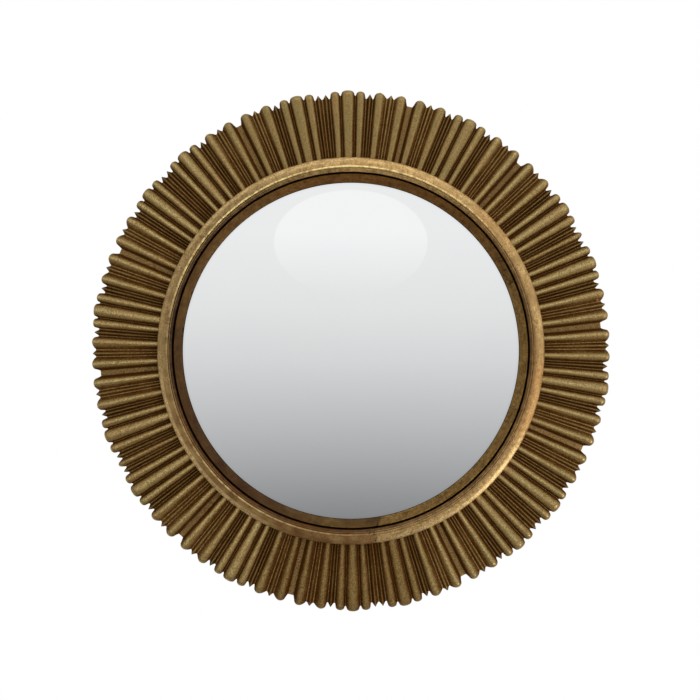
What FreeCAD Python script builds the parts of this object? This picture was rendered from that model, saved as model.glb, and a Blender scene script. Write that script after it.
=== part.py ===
import FreeCAD, Part
import math
import os

# Round convex wall mirror in a pleated ray frame, in millimetres.
# The front faces -Y, the wall is the plane y = 0, +Z is up and the origin lies on the mirror's axis.
# Sections are drawn as (radius, depth), where depth is the distance in front of the wall.
# Angles run clockwise from the top, as the front shows them.
V = FreeCAD.Vector
BACKWARD = V(0, 1, 0)
FORWARD = V(0, -1, 0)

# ---- casting ----
ring_radius = 300.0          # over the tips of the broad ribs
crest_relief = 10.4          # height of the broad ribs over the plain floors, at the rim
crest_depth = 40.0           # depth of the broad ribs at the rim
crest_easing = (7.0, 7.0)    # how far the broad ribs are eased over the rim, along radius and depth
floor_easing = (1.0, 1.0)
fan_depth = 35.8             # all ribs are wedges that point at this spot on the axis
skirt_taper = 0.9973         # radius at the wall over radius at the rim
bead_land = 29.0             # depth of the flat land that carries the bead
casting_bore = 203.7
casting_clearance = 0.6      # round the carrier ring
wall_clearance = 0.6         # round the bead, at the corners of the ribs' many sided inner wall
wall_step = 7                # ridges and grooves from one of those corners to the next

# ---- bead, slip and glass ----
bead_radius = 222.5
sight_radius = 205.7
bead_front = 46.0
slip_radius = 203.5          # leaves the shadow gap between slip and bead
slip_rebate = 200.8
slip_front = 39.5
slip_back = 25.0
glass_sight = 193.9
glass_radius = 200.0
glass_thickness = 4.0
glass_curve = 728.0          # radius of the convex face
glass_crown = 60.0           # depth of the middle of the glass
tape_gap = 0.8               # between the lip and the glass
tape_size = (5.0, 24.0)      # of each strip of tape, along and across the radius
tape_thickness = 0.5
tape_middle = 197.2
tape_count = 8
tape_turn = -15.0            # degrees from the top to the first strip

# ---- back ----
carrier_back = 7.0
carrier_thickness = 15.0
carrier_radius = 283.0
carrier_bore = 204.0
rebate_radius = 218.0
rebate_depth = 5.0
board_radius = 217.2
board_thickness = 3.0
block_count = 8
block_size = (14.0, 30.0)    # along and across the radius
block_outer = 202.0
pad_size = (9.0, 26.0)
pad_outer = 199.5
pad_thickness = 4.0

point_count = 8              # flat steel points that hold the board in its rebate
point_size = (20.0, 9.0)
point_thickness = 0.8
point_outer = 227.0
point_shift = 22.5           # degrees

# ---- hangers ----
hanger_x = 212.0
hinge_z = 130.0
hinge_height = 3.2           # of the hinge line over the back of the carrier ring
wire_radius = 1.6
hinge_clearance = 0.05
ring_half_width = 11.5       # wire centre line
ring_corner = 3.0
ring_straight = 7.0
bow_spans = 8
wire_sides = 8
strap_thickness = 1.2
strap_width = 16.0
strap_length = 38.0
knuckle_width = 13.0
knuckle_run = 7.0            # the strap rises to the knuckle over this length
screw_drop = 29.0            # of the strap's screw under the hinge line
screw_head = (3.8, 1.7)      # radius and height of the pan head
screw_shank = (1.9, 12.0)    # radius and length

# ---- rib pattern ----
# Three modules, each from the middle of one broad rib to the middle of the next and its own mirror image.
# They are listed up to their middle as (rib or notch, degrees, relief of a notch at the rim).
deep, middling, shallow, flush = 1.8, 4.2, 4.6, 0.0
module_a = (28.6, (
    ("notch", 1.65, shallow), ("round", 2.85), ("notch", 4.15, deep), ("sharp", 5.0), ("notch", 5.75, deep),
    ("leaning", 7.15), ("notch", 8.95, middling), ("fine", 9.72), ("notch", 10.5, middling),
    ("leaning_back", 12.1), ("notch", 13.6, flush)))
module_b = (11.7, (
    ("notch", 1.65, shallow), ("round", 2.9), ("notch", 4.2, deep), ("sharp", 5.0), ("notch", 5.85, deep)))
module_c = (13.6, (
    ("notch", 1.65, shallow), ("round", 2.95), ("notch", 4.2, deep), ("sharp", 5.0), ("notch", 5.7, deep),
    ("narrow", 6.8)))
half_pattern = (module_a, module_a, module_c, module_a, module_a, module_b, module_a, module_b)
first_rib = -0.58            # the first broad rib stands just left of the top
rib_stray = 0.34             # degrees that the ribs stray from an even spacing, at most
stray_turn = 17.0            # degrees the strayed pattern is turned back from the top

# Crests as (degrees from the rib's middle, relief at the rim)
rib_crests = {
    "round": ((-0.55, 8.7), (0.55, 8.7)),
    "narrow": ((-0.42, 7.4), (0.42, 7.4)),
    "sharp": ((0.0, 6.3),),
    "fine": ((0.0, 7.8),),
    "leaning": ((-0.55, 8.6), (0.5, 8.6)),
    "leaning_back": ((-0.5, 8.6), (0.55, 8.6)),
}
opposite = {"leaning": "leaning_back", "leaning_back": "leaning"}
broad_shoulder = (1.32, 8.6)
broad_top = (0.85, crest_relief)


def spot(radius, depth, degrees):
    """Point at a radius and depth, clockwise from the top."""
    turn = math.radians(degrees)
    return V(radius * math.sin(turn), -depth, radius * math.cos(turn))


def turned(section):
    """Solid of revolution about the mirror's axis."""
    points = [V(radius, -depth, 0) for radius, depth in section]
    return Part.Face(Part.makePolygon(points + points[:1])).revolve(V(), BACKWARD, 360)


def disc(radius, back, front):
    return Part.makeCylinder(radius, front - back, V(0, -back, 0), FORWARD)


def around(solid, count, first=0.0):
    """Copies of a solid, evenly spaced about the mirror's axis."""
    copies = []
    for number in range(count):
        copy = solid.copy()
        copy.rotate(V(), BACKWARD, first + 360.0 * number / count)
        copies.append(copy)
    return copies


def sphere_depth(radius, offset=0.0):
    """Depth at a radius of the glass's front, or of the surface `offset` behind it."""
    return glass_crown - glass_curve + math.sqrt((glass_curve - offset) ** 2 - radius ** 2)


# ---- pleated ring ----

def module_points(length, half):
    """Ridge and groove points (degrees, relief) of one module, without its right hand broad rib."""
    items = list(half)
    for kind, centre, *relief in reversed(half):
        if abs(length - 2 * centre) > 0.01:
            items.append((opposite.get(kind, kind), length - centre, *relief))
    points = [broad_top, broad_shoulder]
    for kind, centre, *relief in items:
        crest = rib_crests[kind] if kind in rib_crests else ((0.0, relief[0]),)
        points += [(centre + offset, height) for offset, height in crest]
    points += [(length - broad_shoulder[0], broad_shoulder[1]), (length - broad_top[0], broad_top[1])]
    return points


def strayed(degrees):
    """The ribs lie a little closer together round the top and wider apart round the bottom."""
    return degrees - rib_stray * math.sin(math.radians(degrees + stray_turn))


def pattern_points():
    points = []
    start = first_rib
    for length, half in half_pattern * 2:
        points += [(strayed(start + offset), height) for offset, height in module_points(length, half)]
        start += length
    return points


def pleat_station(floor, crest):
    """The pattern's points, where the floors lie at `floor` and the broad crests at `crest`."""
    points = []
    for degrees, height in pattern_points():
        share = height / crest_relief
        radius = floor[0] + share * (crest[0] - floor[0])
        depth = floor[1] + share * (crest[1] - floor[1])
        points.append(spot(radius, depth, degrees))
    return points


def flat_face(*corners):
    return Part.Face(Part.makePolygon(list(corners) + [corners[0]]))


def closed_solid(faces):
    shell = Part.Shell(faces)
    shell.sewShape()
    body = Part.Solid(shell)
    if body.Volume < 0:
        body.reverse()
    return body


def folded_face(first, second, third, fourth):
    """Two flat faces that meet along the line second-fourth, for corners that don't lie in one plane."""
    return [flat_face(first, second, fourth), flat_face(second, third, fourth)]


def wall_corner(point):
    """Corner of the inner wall, on the land, at the same angle as a ridge or groove."""
    reach = (bead_radius + wall_clearance) / math.hypot(point.x, point.z)
    return V(point.x * reach, -bead_land, point.z * reach)


def inner_wall(face):
    """Flat panels round the bead, their corners on the land, and the ends of the ridges and grooves on them.
    Each ridge and groove runs straight towards one spot on the axis."""
    apex = V(0, -fan_depth, 0)
    panels, corners, ends = [], [], []
    for start in range(0, len(face), wall_step):
        end = min(start + wall_step, len(face))
        run = [face[number % len(face)] for number in range(start, end + 1)]
        left, right = wall_corner(run[0]), wall_corner(run[-1])
        normal = (right - left).cross(BACKWARD)
        stops = [apex + (point - apex) * (normal.dot(left) / normal.dot(point - apex))
                 for point in run]
        panels.append(flat_face(left, right, *reversed(stops)))
        corners.append(left)
        ends += stops[:-1]
    return panels, corners, ends


def pleated_ring():
    """Wedge ribs fanned from the axis, eased over the rim and carried down a fluted skirt to the wall."""
    floor_radius, floor_depth = ring_radius - crest_relief, crest_depth - crest_relief
    face = pleat_station((floor_radius - floor_easing[0], floor_depth),
                         (ring_radius - crest_easing[0], crest_depth))
    rim = pleat_station((floor_radius, floor_depth - floor_easing[1]),
                        (ring_radius, crest_depth - crest_easing[1]))
    foot = pleat_station((floor_radius * skirt_taper, 0.0), (ring_radius * skirt_taper, 0.0))
    panels, land, inner = inner_wall(face)
    faces = panels + [flat_face(*land), flat_face(*reversed(foot))]
    for here in range(len(face)):
        after = (here + 1) % len(face)
        faces.append(flat_face(inner[here], face[here], face[after], inner[after]))
        faces += folded_face(face[here], face[after], rim[after], rim[here])
        faces += folded_face(rim[here], rim[after], foot[after], foot[here])
    recess = disc(carrier_radius + casting_clearance, 0, carrier_back + carrier_thickness)
    bore = disc(casting_bore, 0, bead_land)
    return closed_solid(faces).cut(recess).cut(bore).Solids[0]


# ---- turned pieces and glass ----

def bead_moulding():
    """Convex outer band, fine arris and a cove that drops to the shadow gap."""
    return turned([
        (bead_radius, bead_land), (bead_radius, 38.6), (220.0, 43.4), (213.4, bead_front),
        (210.6, 43.2), (sight_radius, 40.6), (sight_radius, bead_land)])


def inner_slip():
    """Bevelled slip: its lip holds the glass from the front, and it is glued into the casting's bore."""
    return turned([
        (slip_radius, slip_back), (slip_radius, slip_front),
        (glass_sight, sphere_depth(glass_sight) + tape_gap),
        (slip_rebate, sphere_depth(slip_rebate) + tape_gap), (slip_rebate, slip_back)])


def glass_tape():
    """Strips of black tape between the lip and the glass, laid to the slope of the glass."""
    strip = Part.makeBox(tape_size[1], tape_thickness, tape_size[0],
                         V(-tape_size[1] / 2, -tape_thickness / 2, -tape_size[0] / 2))
    strip.rotate(V(), V(-1, 0, 0), math.degrees(math.asin(tape_middle / glass_curve)))
    strip.translate(V(0, -sphere_depth(tape_middle) - tape_gap / 2, tape_middle))
    return Part.makeCompound(around(strip, tape_count, tape_turn))


def convex_glass():
    """Shell between two spheres about one centre. The spheres' own poles are kept off the glass."""
    centre = V(0, glass_curve - glass_crown, 0)
    front = Part.makeSphere(glass_curve, centre, V(0, 0, 1))
    back = Part.makeSphere(glass_curve - glass_thickness, centre, V(0, 0, 1))
    rim = disc(glass_radius, sphere_depth(glass_radius) - 2 * glass_thickness, glass_crown + glass_thickness)
    return rim.common(front).cut(back).Solids[0]


# ---- back ----

def radial_box(size, outer, back, front):
    """Block at the top of the mirror that ends at radius `outer`, (along, across) the radius."""
    return Part.makeBox(size[1], front - back, size[0], V(-size[1] / 2, -front, outer - size[0]))


def pad_back():
    return sphere_depth(glass_radius, glass_thickness) - 0.1 - pad_thickness


def glass_pads():
    """Foam pads that press on the rim of the glass."""
    pad = radial_box(pad_size, pad_outer, pad_back(), pad_back() + pad_thickness)
    return Part.makeCompound(around(pad, block_count))


def glass_blocks():
    """Wooden blocks between the back board and the pads."""
    block = radial_box(block_size, block_outer, carrier_back + rebate_depth, pad_back())
    return Part.makeCompound(around(block, block_count))


def board_points():
    """Flat points driven into the side of the rebate, over the edge of the board."""
    board_back = carrier_back + rebate_depth - board_thickness
    point = radial_box(point_size, point_outer, board_back - point_thickness, board_back)
    return Part.makeCompound(around(point, point_count, point_shift))


def carrier_ring():
    body = disc(carrier_radius, carrier_back, carrier_back + carrier_thickness)
    body = body.cut(disc(carrier_bore, carrier_back, carrier_back + carrier_thickness))
    body = body.cut(disc(rebate_radius, carrier_back, carrier_back + rebate_depth))
    return body.cut(board_points()).Solids[0]


def back_board():
    front = carrier_back + rebate_depth
    return disc(board_radius, front - board_thickness, front)


# ---- hangers, drawn with the hinge line along X through the origin and the carrier's back below it ----

def lift_hanger(shape, x):
    """From the hinge line to its place on the back: heights over the carrier's back point at the wall."""
    copy = shape.copy()
    copy.translate(V(x, hinge_height - carrier_back, hinge_z))
    return copy


def across(points, width):
    """Side outline of (z, height over the carrier's back), extruded to a width along X."""
    corners = [V(-width / 2, height - hinge_height, z) for z, height in points]
    return Part.Face(Part.makePolygon(corners + corners[:1])).extrude(V(width, 0, 0))


def rod(radius, width):
    return Part.makeCylinder(radius, width, V(-width / 2, 0, 0), V(1, 0, 0))


def strap_outline():
    """Front outline of the strap: round foot, full width, and shoulders that narrow to the knuckle."""
    half, neck, top = strap_width / 2, knuckle_width / 2, hinge_height
    foot = -strap_length + half
    shoulder = -knuckle_run - 2.0
    left = [V(-half, 0, foot), V(-half, 0, shoulder), V(-neck, 0, -knuckle_run), V(-neck, 0, top)]
    right = [V(-p.x, 0, p.z) for p in reversed(left)]
    edges = list(Part.makePolygon(left + right).Edges)
    edges.append(Part.Arc(right[-1], V(0, 0, -strap_length), left[0]).toShape())
    return Part.Face(Part.Wire(edges))


def hanger_strap():
    knuckle_bore = wire_radius + hinge_clearance
    knuckle_radius = knuckle_bore + strap_thickness
    plate = across([(-strap_length, 0), (-strap_length, strap_thickness), (-knuckle_run, strap_thickness),
                    (-knuckle_radius, hinge_height), (0, hinge_height), (0, hinge_height - knuckle_radius),
                    (-knuckle_run + strap_thickness, 0)], strap_width)
    reach = 2 * hinge_height
    outline = strap_outline().extrude(V(0, 2 * reach, 0))
    outline.translate(V(0, -reach, 0))
    body = plate.fuse(rod(knuckle_radius, knuckle_width)).common(outline)
    return body.cut(rod(knuckle_bore, strap_width)).cut(strap_screw()).Solids[0]


def strap_screw():
    """Pan head screw under the hinge line, its head on the strap and its shank in the carrier."""
    seat = V(0, strap_thickness - hinge_height, -screw_drop)
    head = Part.makeCone(screw_head[0], 0.7 * screw_head[0], screw_head[1], seat, BACKWARD)
    return head.fuse(Part.makeCylinder(screw_shank[0], screw_shank[1], seat, FORWARD))


def hanger_screws():
    return Part.makeCompound([lift_hanger(strap_screw(), x) for x in (-hanger_x, hanger_x)])


def wire_section(before, centre, after):
    """Section of the wire at a bend of its route, mitred so that each run keeps its thickness."""
    incoming, outgoing = (centre - before).normalize(), (after - centre).normalize()
    half_turn = incoming.getAngle(outgoing) / 2
    side = V(0, 1, 0).cross(incoming + outgoing).normalize()
    corners = []
    for number in range(wire_sides):
        turn = 2 * math.pi * (number + 0.5) / wire_sides
        in_plane = wire_radius * math.cos(turn) / math.cos(half_turn)
        corners.append(centre + side * in_plane + V(0, wire_radius * math.sin(turn), 0))
    return corners


def bow_route():
    """Centre line of the D ring from one end of its bar round to the other."""
    corner = [V(ring_half_width - ring_corner, 0, 0),
              V(ring_half_width - ring_corner * (1 - math.sin(math.pi / 4)), 0,
                -ring_corner * (1 - math.cos(math.pi / 4))),
              V(ring_half_width, 0, -ring_corner)]
    bow = []
    for number in range(bow_spans + 1):
        turn = math.pi * number / bow_spans
        bow.append(V(ring_half_width * math.cos(turn), 0,
                     -ring_straight - ring_half_width * math.sin(turn)))
    return corner + bow + [V(-point.x, 0, point.z) for point in reversed(corner)]


def hanger_ring():
    """D of bent wire that hangs from the hinge line: a round bar and a many sided bow."""
    route = bow_route()
    stub = V(1, 0, 0)
    ends = [route[0] - stub] + route + [route[-1] + stub]
    sections = [wire_section(*ends[number:number + 3]) for number in range(len(route))]
    faces = [flat_face(*sections[0]), flat_face(*sections[-1])]
    for near, far in zip(sections, sections[1:]):
        faces += [flat_face(near[a - 1], near[a], far[a], far[a - 1]) for a in range(wire_sides)]
    return closed_solid(faces).fuse(rod(wire_radius, 2 * (ring_half_width - ring_corner))).Solids[0]


def write(name, shape):
    shape.exportStep("parts/" + name + ".step")
    print(name, len(shape.Solids), "solid", len(shape.Faces), "faces",
          round(shape.Volume / 1000.0, 2), "cm3", "valid" if shape.isValid() else "NOT VALID")


os.makedirs("parts", exist_ok=True)
for piece in (pleated_ring, bead_moulding, inner_slip, glass_tape, convex_glass, glass_pads, glass_blocks,
              carrier_ring, back_board, board_points, hanger_screws):
    write(piece.__name__, piece())
for side, x in (("left", -hanger_x), ("right", hanger_x)):
    write("hanger_strap_" + side, lift_hanger(hanger_strap(), x))
    write("hanger_ring_" + side, lift_hanger(hanger_ring(), x))
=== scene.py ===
import math
import bpy
import bmesh
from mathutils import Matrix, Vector, noise


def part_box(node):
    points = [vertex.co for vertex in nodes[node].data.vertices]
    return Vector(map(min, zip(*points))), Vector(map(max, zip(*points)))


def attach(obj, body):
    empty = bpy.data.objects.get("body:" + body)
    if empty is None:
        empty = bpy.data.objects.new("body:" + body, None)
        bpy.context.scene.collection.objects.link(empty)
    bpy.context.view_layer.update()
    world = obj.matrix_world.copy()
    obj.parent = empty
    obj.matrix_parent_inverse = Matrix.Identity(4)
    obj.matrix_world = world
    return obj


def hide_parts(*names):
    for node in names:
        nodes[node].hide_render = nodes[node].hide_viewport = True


# Round convex wall mirror in a gilt ring of radial pleats.
# The front faces -Y and the wall is y = 0. Sections are (radius, depth) in millimetres,
# where depth is the distance in front of the wall. Angles run clockwise from the top.

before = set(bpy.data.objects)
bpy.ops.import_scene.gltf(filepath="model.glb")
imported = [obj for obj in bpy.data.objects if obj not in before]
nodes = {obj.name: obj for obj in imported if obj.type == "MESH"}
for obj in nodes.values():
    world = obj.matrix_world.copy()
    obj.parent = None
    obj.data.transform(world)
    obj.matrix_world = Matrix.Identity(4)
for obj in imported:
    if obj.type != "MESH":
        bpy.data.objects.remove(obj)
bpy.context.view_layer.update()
mm = 0.001


def reachOf(node):
    # outer radius of a round node about the mirror's axis, in millimetres
    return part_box(node)[1].z / mm


def frontOf(node):
    return -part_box(node)[0].y / mm


# helpers for the meshes

def addObject(name, data):
    item = bpy.data.objects.new(name, data)
    bpy.context.scene.collection.objects.link(item)
    return item


def spot(radius, depth, degrees):
    turn = math.radians(degrees)
    return Vector((radius * math.sin(turn), -depth, radius * math.cos(turn))) * mm


def bandMesh(name, rings, marks=None, loop=True, sharp=35, slots=None):
    # surface through a list of closed rings of points; loop joins the last ring to the first
    count = len(rings[0])
    points = [point for ring in rings for point in ring]
    faces = []
    kinds = []
    for row in range(len(rings) if loop else len(rings) - 1):
        low, high = row * count, (row + 1) % len(rings) * count
        for here in range(count):
            after = (here + 1) % count
            faces.append((low + here, high + here, high + after, low + after))
            kinds.append(slots[row] if slots else 0)
    mesh = bpy.data.meshes.new(name)
    mesh.from_pydata(points, [], faces)
    for key, rows in (marks or {}).items():
        layer = mesh.attributes.new(key, "FLOAT", "POINT")
        layer.data.foreach_set("value", [value for row in rows for value in row])
    mesh.polygons.foreach_set("material_index", kinds)
    mesh.polygons.foreach_set("use_smooth", [True] * len(faces))
    mesh.update()
    mesh.set_sharp_from_angle(angle=math.radians(sharp))
    return addObject(name, mesh)


def turnedRings(section, spans):
    # a ring of points round the mirror's axis to each (radius, depth) of the section
    return [[spot(radius, depth, -360 * number / spans) for number in range(spans)]
            for radius, depth in section]


def turnedMesh(name, section, spans=480):
    # surface of revolution about the mirror's axis, from (radius, depth, tint) points
    rings = turnedRings([(radius, depth) for radius, depth, _ in section], spans)
    return bandMesh(name, rings, {"tint": [[tint] * spans for _, _, tint in section]})


def arc(centre, radii, start, end, steps):
    # points on an ellipse about (radius, depth), angles in degrees from the outward radius to the front
    points = []
    for number in range(steps + 1):
        turn = math.radians(start + (end - start) * number / steps)
        points.append((centre[0] + radii[0] * math.cos(turn), centre[1] + radii[1] * math.sin(turn)))
    return points


def softened(points, rounds):
    # cuts the corners of a closed outline; the angles that its points start with run on past the seam
    for _ in range(rounds):
        cut = []
        for number, point in enumerate(points):
            after = list(points[(number + 1) % len(points)])
            if after[0] < point[0]:
                after[0] += 360
            for share in (0.25, 0.75):
                cut.append(tuple(old + (new - old) * share for old, new in zip(point, after)))
        points = cut
    return points


def finishPiece(piece, body, slot, replaced, *materials):
    for material in materials:
        piece.data.materials.append(material)
    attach(piece, body)
    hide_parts(replaced)
    return piece


# helpers for the materials

def tone(red, green, blue):
    # screen colour, 0 to 255, as the shader's linear colour
    linear = []
    for value in (red, green, blue):
        share = value / 255
        linear.append(share / 12.92 if share <= 0.04045 else ((share + 0.055) / 1.055) ** 2.4)
    return (*linear, 1.0)


def freshMaterial(name, roughness=0.5, metallic=0.0):
    material = bpy.data.materials.new(name)
    material.use_nodes = True
    shader = material.node_tree.nodes["Principled BSDF"]
    shader.inputs["Roughness"].default_value = roughness
    shader.inputs["Metallic"].default_value = metallic
    return material, material.node_tree, shader


def put(tree, kind, values=None, **settings):
    item = tree.nodes.new("ShaderNode" + kind)
    for key, value in settings.items():
        setattr(item, key, value)
    for key, value in (values or {}).items():
        if isinstance(value, bpy.types.NodeSocket):
            tree.links.new(value, item.inputs[key])
        else:
            item.inputs[key].default_value = value
    return item


def place(tree, scale=(1, 1, 1)):
    coords = put(tree, "TexCoord").outputs["Object"]
    return put(tree, "Mapping", {"Vector": coords, "Scale": scale}).outputs[0]


def speckle(tree, coords, size, detail=4.0, roughness=0.55):
    # noise whose features are about this many metres across
    return put(tree, "TexNoise", {"Vector": coords, "Scale": 1 / size, "Detail": detail,
                                  "Roughness": roughness}).outputs[0]


def spread(tree, value, low, high, toLow=0.0, toHigh=1.0):
    return put(tree, "MapRange", {"Value": value, "From Min": low, "From Max": high, "To Min": toLow,
                                  "To Max": toHigh}).outputs[0]


def sums(tree, operation, first, second=0.0, clamp=False):
    return put(tree, "Math", {0: first, 1: second}, operation=operation, use_clamp=clamp).outputs[0]


def plus(tree, first, second, clamp=False):
    return sums(tree, "ADD", first, second, clamp)


def times(tree, first, second):
    return sums(tree, "MULTIPLY", first, second)


def mixed(tree, amount, first, second, blend="MIX"):
    return put(tree, "Mix", {0: amount, 6: first, 7: second}, data_type="RGBA", blend_type=blend).outputs[2]


def stops(tree, value, *pairs):
    ramp = put(tree, "ValToRGB", {"Fac": value})
    while len(ramp.color_ramp.elements) < len(pairs):
        ramp.color_ramp.elements.new(0.5)
    for element, (position, colour) in zip(ramp.color_ramp.elements, pairs):
        element.position = position
        element.color = colour
    return ramp.outputs[0]


def mark(tree, name):
    return put(tree, "Attribute", attribute_name=name).outputs["Fac"]


def bumpy(tree, shader, height, depth, strength=1.0):
    normal = put(tree, "Bump", {"Height": height, "Distance": depth, "Strength": strength}).outputs[0]
    tree.links.new(normal, shader.inputs["Normal"])


def plug(tree, socket, shader, name):
    tree.links.new(socket, shader.inputs[name])


def objectParts(tree):
    return put(tree, "SeparateXYZ", {0: put(tree, "TexCoord").outputs["Object"]}).outputs


def radiusAt(tree, parts):
    # distance from the mirror's axis
    return sums(tree, "SQRT", plus(tree, times(tree, parts[0], parts[0]), times(tree, parts[2], parts[2])))


def turnAt(tree, parts):
    # radians from the top, clockwise
    return sums(tree, "ARCTAN2", parts[0], parts[2])


def shareRound(tree, turn):
    # the same as a share of the whole round, 0 to 1
    return sums(tree, "FRACT", plus(tree, sums(tree, "DIVIDE", turn, 2 * math.pi), 1.0))


# the pleated ring

pleats = {
    "tip": reachOf("pleated_ring"),
    "relief": 10.4,           # broad ribs over the floors, at the rim
    "depth": 40.0,            # of the broad ribs at the rim
    "crestRoll": 7.0,         # radius of the roll over the rim, on the broad ribs
    "floorRoll": 1.0,
    "apex": 35.8,             # depth of the spot on the axis that all ribs point at
    "inner": reachOf("bead_moulding"),
    "clearance": 0.05,        # round the bead
    "land": 29.0,
    "bore": 203.75,
    "recess": 283.6,
    "recessDepth": 22.0,
    "footTaper": 0.9973,
    "faceSteps": 8,
    "rollSteps": 8,
    "skirtRows": (0.3, 0.65, 0.95, 1.0),      # shares of the way back to the wall
    "belly": 0.5,             # how far the ribs' tops swell between bead and rim
    "first": -0.58,           # degrees from the top to the middle of the first broad rib
    "stray": 0.34,            # degrees the ribs stray from an even spacing, at most
    "strayTurn": 17.0,
    "wobble": 0.012,          # unevenness of the casting, to each mm of relief and foot
    "wobbleFoot": 3.0,
    "wobbleRound": 0.9,       # how fast it changes, per degree and per mm of radius
    "wobbleAlong": 0.05,
    "waver": 0.05,            # degrees that each rib's sides waver along its length
    "waverRound": 0.5,
    "waverAlong": 0.03,
    "pressed": 3.0,           # the last mm of the tips, which are pressed in to fit the box
    # how thick the gold lies, with a painted highlight along the crests and painted shade round the bottom
    "flank": 0.4,             # thinner gold than this lies on a crest's flank
    "thinning": 0.5,          # how much less there is on the flanks beside the bead
    "crestHighlight": 0.4,           # painted highlight: how much more on the crests there
    "crestHighlightEnd": 8.0,          # mm inside the tips, where that has faded out
    "rimFade": 0.3,           # share taken off over the last mm before the rim, which darkens the tips there
    "rimBand": 7.0,
    "darkening": 0.55,             # painted shade: share taken off round the bottom, where less light falls, and over which degrees
    "shadedAt": 182.0,
    "shadedHalf": 26.0,
    "evenGold": 1.0,          # round the top the crests are gilt evenly, without their painted highlight
    "evenGain": 1.5,
    "evenHalf": 40.0,
    "evenFrom": 6.5,          # reliefs between which that sets in
    "evenTo": 8.5,
    "covered": 1.6,           # gold that hides the ground and gives the palest tone; crests above 1 reach it as a painted highlight
    # finish: tones by how much gold there is, the palest ones a painted highlight on the crests, and sizes
    # in metres
    "giltAndHighlightTones": ((0.0, tone(86, 47, 4)), (0.1, tone(110, 72, 22)), (0.22, tone(138, 104, 56)),
                 (0.38, tone(148, 124, 74)), (0.58, tone(160, 137, 86)), (0.8, tone(180, 155, 101)),
                 (1.0, tone(202, 176, 120))),
    "warm": tone(156, 112, 64),
    "sandy": tone(208, 168, 106),
    "speck": tone(196, 160, 112),
    "ground": tone(206, 132, 88),
    "sprayedAndGapShade": tone(44, 27, 12),
    "patchSize": 0.03,
    "grainSize": 0.0016,
    "dustSize": 0.0012,
    "speckPatch": 0.012,
    "speckScale": 260.0,
    "smooth": ((0.72, 0.7, 0.66, 1), (1.2, 1.21, 1.24, 1)),
    "rough": ((0.46, 0.42, 0.36, 1), (1.5, 1.52, 1.56, 1)),
    # how rough the gold is round the ring, by degrees from the top
    "grainy": ((0, 0.0), (35, 0.4), (60, 0.8), (150, 0.7), (200, 1.0), (300, 1.0), (335, 0.2), (360, 0.0)),
    "chip": (0.2838, -0.034, 0.0594),         # where the bare ground shows
    "chipEdge": (0.0026, 0.0018),
    "bumpDepth": 0.00014,
}

# outlines of the ribs: degrees from the middle, relief at the rim, how thick the gold lies, where values
# above 1 on the crests add a painted highlight
ribShapes = {
    "broad": [(-1.46, 6.2, -0.1), (-1.36, 7.9, 0.0), (-1.16, 9.1, 0.25), (-0.84, 9.95, 0.8),
              (-0.42, 10.45, 1.25), (0.0, 10.55, 1.7), (0.42, 10.45, 1.25), (0.84, 9.95, 0.8),
              (1.16, 9.1, 0.25), (1.36, 7.9, 0.0), (1.46, 6.2, -0.1)],
    "round": [(-1.03, 5.2, -0.1), (-0.95, 6.9, 0.0), (-0.76, 8.2, 0.25), (-0.38, 9.2, 1.0),
              (0.0, 9.5, 1.7), (0.38, 9.2, 1.0), (0.76, 8.2, 0.25), (0.95, 6.9, 0.0),
              (1.03, 5.2, -0.1)],
    "narrow": [(-0.6, 6.2, 0.0), (-0.3, 8.1, 0.8), (0.0, 8.6, 1.3), (0.3, 8.1, 0.8), (0.6, 6.2, 0.0)],
    "sharp": [(-0.42, 3.6, 0.0), (-0.2, 5.4, 0.05), (0.0, 7.0, 1.0), (0.2, 5.4, 0.05),
              (0.42, 3.6, 0.0)],
    "fine": [(-0.44, 5.4, 0.05), (-0.2, 7.2, 0.15), (0.0, 8.4, 1.1), (0.2, 7.2, 0.15),
             (0.44, 5.4, 0.05)],
    "leaning": [(-1.18, 4.2, -0.1), (-1.06, 6.4, 0.0), (-0.8, 8.0, 0.3), (-0.42, 9.1, 1.0),
                (0.0, 9.5, 1.7), (0.36, 9.2, 1.0), (0.76, 8.2, 0.4), (1.16, 6.6, 0.15),
                (1.42, 5.2, 0.12)],
}
# half modules: ribs by their middle, grooves by their two edges, relief and how sandy the floor is
halfModules = {
    "a": (28.6, [("groove", 1.6, 1.72, 4.6, 0.9), ("round", 2.88),
                 ("groove", 4.05, 4.35, 1.8, 1.0), ("sharp", 5.0),
                 ("groove", 5.6, 5.85, 1.8, 1.0), ("leaning", 7.17),
                 ("groove", 8.78, 9.05, 4.2, 1.0), ("fine", 9.72),
                 ("groove", 10.35, 10.62, 4.2, 1.0), ("leaningBack", 12.14),
                 ("groove", 13.66, 14.94, 0.0, 1.0)]),
    "b": (11.7, [("groove", 1.6, 1.72, 4.6, 0.9), ("round", 2.9),
                 ("groove", 4.05, 4.35, 1.8, 1.0), ("sharp", 5.0),
                 ("groove", 5.7, 6.0, 1.8, 1.0)]),
    "c": (13.6, [("groove", 1.6, 1.72, 4.6, 0.9), ("round", 2.95),
                 ("groove", 4.1, 4.4, 1.8, 1.0), ("sharp", 5.0),
                 ("groove", 5.58, 5.85, 1.8, 1.0), ("narrow", 6.8)]),
}
modulesRound = "aacaabab" * 2


def ribOutline(kind, middle):
    if kind == "leaningBack":
        leaning = reversed(ribShapes["leaning"])
        return [(middle - offset, height, gold, 0) for offset, height, gold in leaning]
    return [(middle + offset, height, gold, 0) for offset, height, gold in ribShapes[kind]]


def grooveOutline(low, high, height, sand):
    # a flat floor; its ends are doubled so that the corner cutting keeps it flat
    inset = min(0.1, (high - low) / 4)
    return [(low, height, 0.1, 0), (low + inset, height, 0.3, sand), (high - inset, height, 0.3, sand),
            (high, height, 0.1, 0)]


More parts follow.
